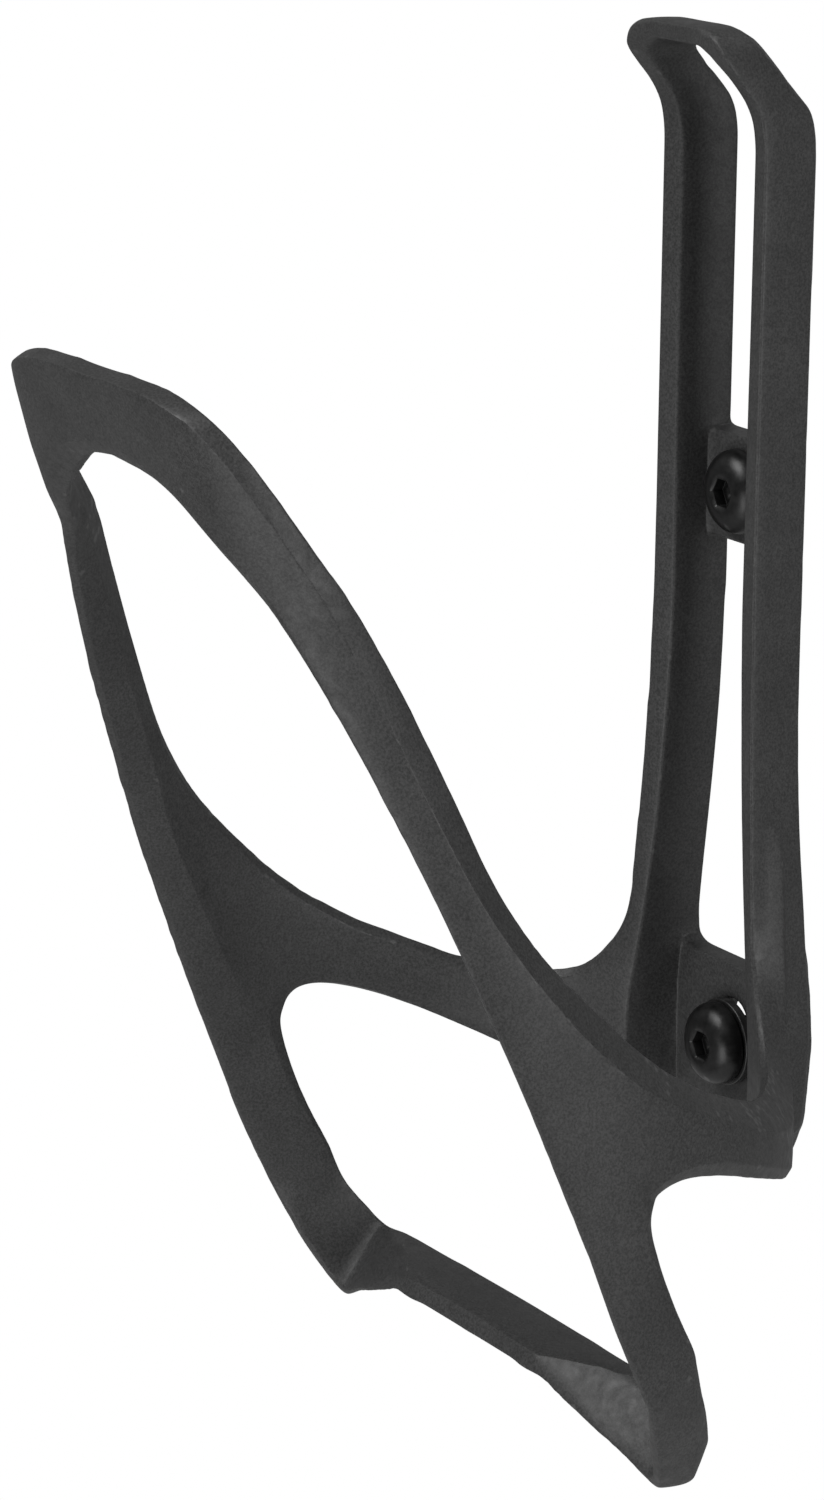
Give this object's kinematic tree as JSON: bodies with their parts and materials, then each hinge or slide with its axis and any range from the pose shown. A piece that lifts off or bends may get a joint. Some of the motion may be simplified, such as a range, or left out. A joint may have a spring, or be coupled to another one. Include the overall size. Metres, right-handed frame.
{
  "type": "water bottle cage",
  "caption": "Side-entry bottle cage moulded in one piece, with diagonal arms, twin back rails, a bolt hole and a slot, and the screws that hold it.",
  "frame": {"origin": "on the mounting plane that touches the bicycle's tube, halfway between the two bolts and on the plane of symmetry", "axes": "+X across the bicycle through one arm, +Y from the bottle into the tube, +Z along the bottle's axis towards its mouth"},
  "size_m": [0.0812, 0.0909, 0.152],
  "materials": {
    "moulded_composite": "fine matte filled moulding with soft edges",
    "black_oxide_steel": "black oxide on turned steel, slightly glossy",
    "washer_steel": "black oxide on stamped steel"
  },
  "bodies": {
    "cage": {"cage_moulding": "moulded_composite"},
    "upper_bolt": {"upper_screw": "black_oxide_steel"},
    "washer": {"lower_washer": "washer_steel"},
    "lower_bolt": {"lower_screw": "black_oxide_steel"}
  },
  "joints": [
    {"name": "upper_screw_turn", "type": "hinge", "parent": "cage", "child": "upper_bolt", "pos_m": [0, -0.0036, 0.032], "axis": [0, 1, 0], "continuous": true},
    {"name": "lower_washer_slide", "type": "slide", "parent": "cage", "child": "washer", "axis": [0, 0, 1], "range_m": [-0.0022, 0.0022]},
    {"name": "lower_screw_turn", "type": "hinge", "parent": "washer", "child": "lower_bolt", "pos_m": [0, -0.0045, -0.032], "axis": [0, 1, 0], "continuous": true}
  ]
}
